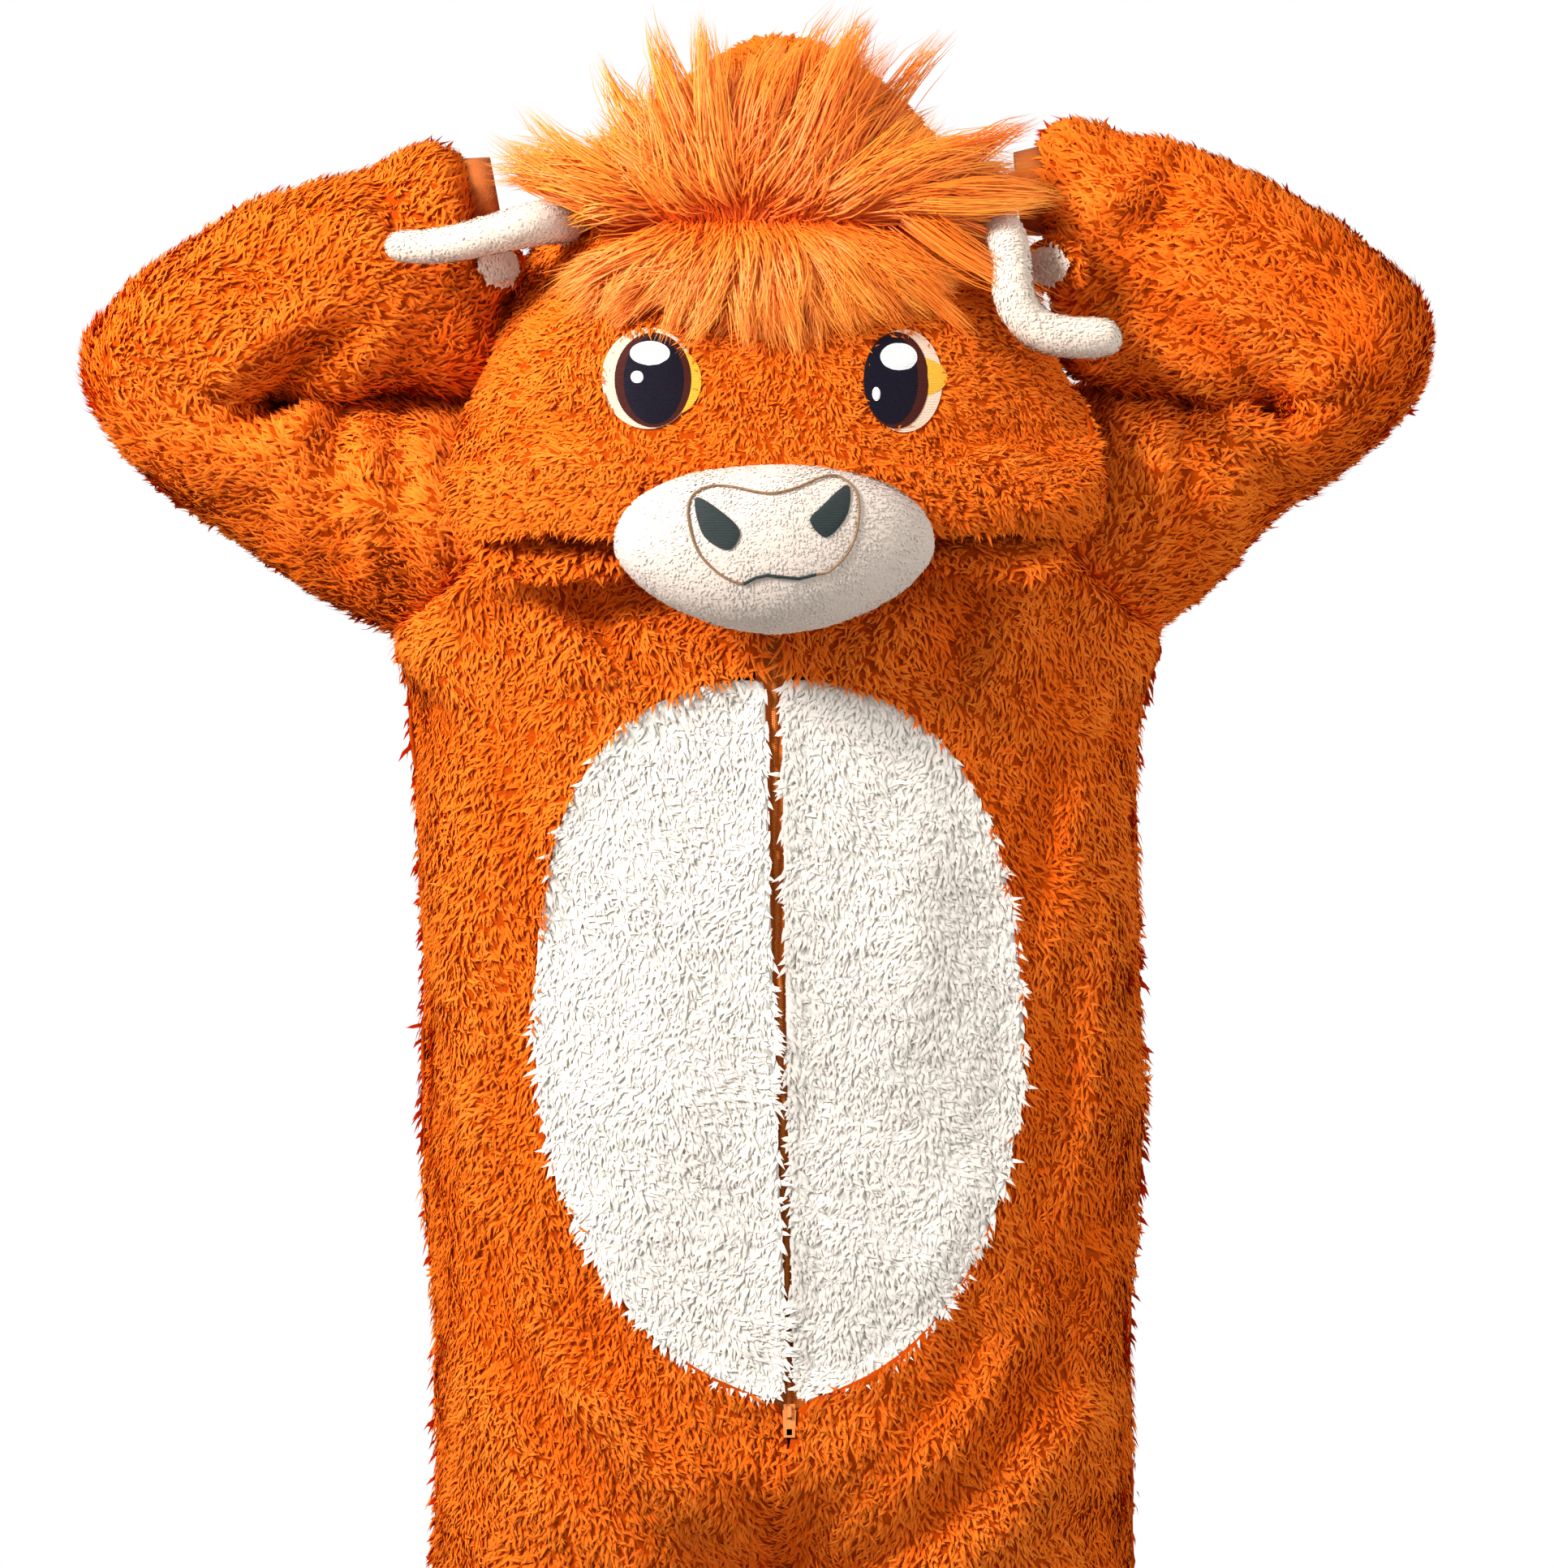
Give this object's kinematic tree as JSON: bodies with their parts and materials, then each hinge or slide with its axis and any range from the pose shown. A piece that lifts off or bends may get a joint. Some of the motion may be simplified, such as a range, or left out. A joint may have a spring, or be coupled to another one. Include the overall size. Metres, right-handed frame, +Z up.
{
  "type": "hooded animal onesie",
  "caption": "Adult plush onesie shaped as a shaggy highland cow, with a hood that is the cow's head and a front zip, worn with the arms raised.",
  "frame": {"origin": "centre of the base of the wearer's neck, level with the shoulders, 1400 mm above the wearer's floor", "axes": "+X towards the wearer's left, -Y out of the garment's front, +Z up to the hood's hair"},
  "size_m": [1.011, 0.4324, 1.6587],
  "materials": {
    "plush_orange": "long orange plush",
    "plush_cream": "short cream plush",
    "rib_knit": "ribbed orange knit",
    "hair": "long soft orange pile",
    "zip_tape": "woven orange tape",
    "zip_coil": "orange nylon coil",
    "zip_metal": "orange enamel"
  },
  "bodies": {
    "garment": {"front_right": "plush_orange", "front_left": "plush_orange", "back_right": "plush_orange", "back_left": "plush_orange", "sleeve_right": "plush_orange", "sleeve_left": "plush_orange", "hood_crown": "plush_orange", "hood_face": "plush_orange", "hood_back": "plush_orange", "hood_chin": "plush_orange", "ear_right": "plush_orange", "ear_left": "plush_orange", "belly_right": "plush_cream", "belly_left": "plush_cream", "muzzle": "plush_cream", "horn_right": "plush_cream", "horn_left": "plush_cream", "ear_inner_right": "plush_cream", "ear_inner_left": "plush_cream", "cuff_wrist_right": "rib_knit", "cuff_wrist_left": "rib_knit", "cuff_ankle_right": "rib_knit", "cuff_ankle_left": "rib_knit", "hair_topknot": "hair", "hair_fringe": "hair", "zip_tape_right": "zip_tape", "zip_tape_left": "zip_tape", "zip_chain": "zip_coil", "zip_slider_lower": "zip_metal", "zip_slider_upper": "zip_metal"},
    "pull_lower": {"zip_pull_lower": "zip_metal"},
    "pull_upper": {"zip_pull_upper": "zip_metal"}
  },
  "joints": [
    {"name": "pull_lower_hinge", "type": "hinge", "parent": "garment", "child": "pull_lower", "pos_m": [0.009, -0.15935, -0.6795], "axis": [-1, 0, 0], "range_deg": [0, 165]},
    {"name": "pull_upper_hinge", "type": "hinge", "parent": "garment", "child": "pull_upper", "pos_m": [-0.003, -0.13229, -0.079], "axis": [-1, 0, 0], "range_deg": [0, 120]}
  ]
}
